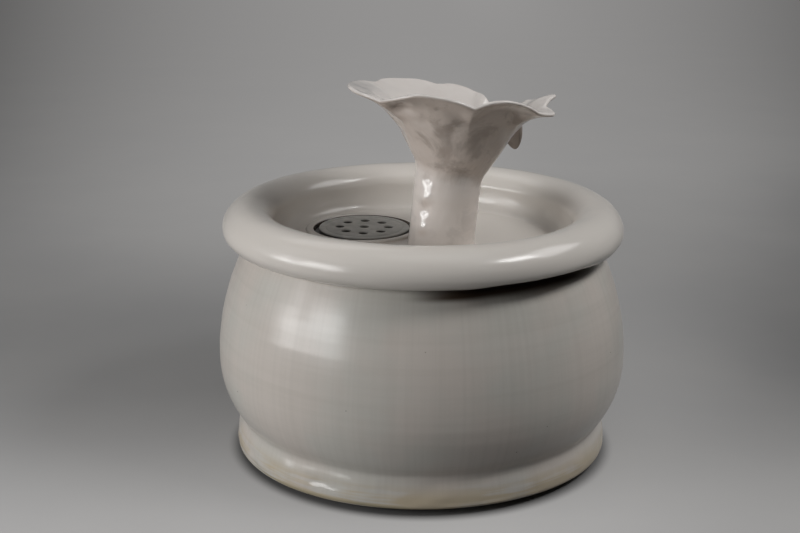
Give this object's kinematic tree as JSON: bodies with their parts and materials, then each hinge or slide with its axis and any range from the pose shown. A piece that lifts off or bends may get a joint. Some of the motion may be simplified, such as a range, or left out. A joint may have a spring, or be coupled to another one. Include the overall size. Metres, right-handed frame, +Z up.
{
  "type": "pet water fountain",
  "caption": "Stoneware pet water fountain: a round pot with a pump inside, a rolled-rim catch bowl with a strainer, and a lily-shaped spout on a stem.",
  "frame": {"origin": "centre of the foot, on the surface that the fountain stands on", "axes": "+Z up along the pot's axis, -Y towards the front, where the strainer is on the left of the stem"},
  "size_m": [0.2784, 0.2784, 0.2567],
  "materials": {
    "pale_glaze": "satin glazed stoneware",
    "strainer_grey": "matte grey",
    "cup_grey": "moulded, matte",
    "foam_dark": "open-cell foam",
    "rubber_dark": "soft rubber",
    "vinyl_clear": "clear vinyl tube",
    "pump_black": "moulded, fine texture",
    "knob_grey": "moulded, matte",
    "core_steel": "stacked laminations",
    "bobbin_white": "moulded nylon",
    "winding_copper": "enamelled copper wire",
    "magnet_dark": "ferrite",
    "impeller_white": "moulded",
    "shaft_ceramic": "ground alumina"
  },
  "bodies": {
    "pot": {"reservoir_pot": "pale_glaze", "foot_bumper_1": "rubber_dark", "foot_bumper_2": "rubber_dark", "foot_bumper_3": "rubber_dark", "foot_bumper_4": "rubber_dark"},
    "bowl": {"catch_bowl": "pale_glaze", "spout_grommet": "rubber_dark", "riser_tube": "vinyl_clear"},
    "lily": {"lily_spout": "pale_glaze"},
    "cup": {"filter_cup": "cup_grey"},
    "foam": {"filter_foam": "foam_dark"},
    "strainer": {"strainer_disc": "strainer_grey"},
    "pump": {"pump_housing": "pump_black", "pump_back_cover": "pump_black", "cord_gland": "rubber_dark", "stator_core": "core_steel", "coil_bobbin": "bobbin_white", "coil_winding": "winding_copper", "shaft_bush_rear": "rubber_dark", "chamber_seal": "rubber_dark", "suction_cup_1": "rubber_dark", "suction_cup_2": "rubber_dark", "suction_cup_3": "rubber_dark", "suction_cup_4": "rubber_dark"},
    "rotor": {"rotor_magnet": "magnet_dark", "impeller": "impeller_white", "rotor_shaft": "shaft_ceramic"},
    "chamber_front": {"chamber_plate": "pump_black", "shaft_bush_front": "rubber_dark"},
    "intake_cover": {"intake_cover": "pump_black"},
    "flow_knob": {"flow_knob": "knob_grey"}
  },
  "joints": [
    {"name": "bowl_lift", "type": "slide", "parent": "pot", "child": "bowl", "axis": [0, 0, 1], "range_m": [0, 0.3]},
    {"name": "lily_lift", "type": "slide", "parent": "bowl", "child": "lily", "axis": [0, 0, 1], "range_m": [0, 0.1]},
    {"name": "cup_lift", "type": "slide", "parent": "bowl", "child": "cup", "axis": [0, 0, 1], "range_m": [0, 0.029]},
    {"name": "foam_lift", "type": "slide", "parent": "cup", "child": "foam", "axis": [0, 0, 1], "range_m": [0, 0.018]},
    {"name": "strainer_lift", "type": "slide", "parent": "foam", "child": "strainer", "axis": [0, 0, 1], "range_m": [0, 0.01]},
    {"name": "pump_lift", "type": "slide", "parent": "pot", "child": "pump", "axis": [0, 0, 1], "range_m": [0, 0.15]},
    {"name": "rotor_spin", "type": "hinge", "parent": "pump", "child": "rotor", "pos_m": [0.0125, -0.0005, 0.044], "axis": [0, -1, 0], "continuous": true},
    {"name": "chamber_plate_slide", "type": "slide", "parent": "pump", "child": "chamber_front", "axis": [0, -1, 0], "range_m": [0, 0.03]},
    {"name": "intake_cover_slide", "type": "slide", "parent": "chamber_front", "child": "intake_cover", "axis": [0, -1, 0], "range_m": [0, 0.02]},
    {"name": "flow_knob_turn", "type": "hinge", "parent": "intake_cover", "child": "flow_knob", "pos_m": [0.0125, -0.0225, 0.044], "axis": [0, -1, 0], "range_deg": [0, 90]}
  ],
  "couplings": [
    {"joint": "pump_lift", "follows": "bowl_lift", "ratio": 0.5}
  ]
}
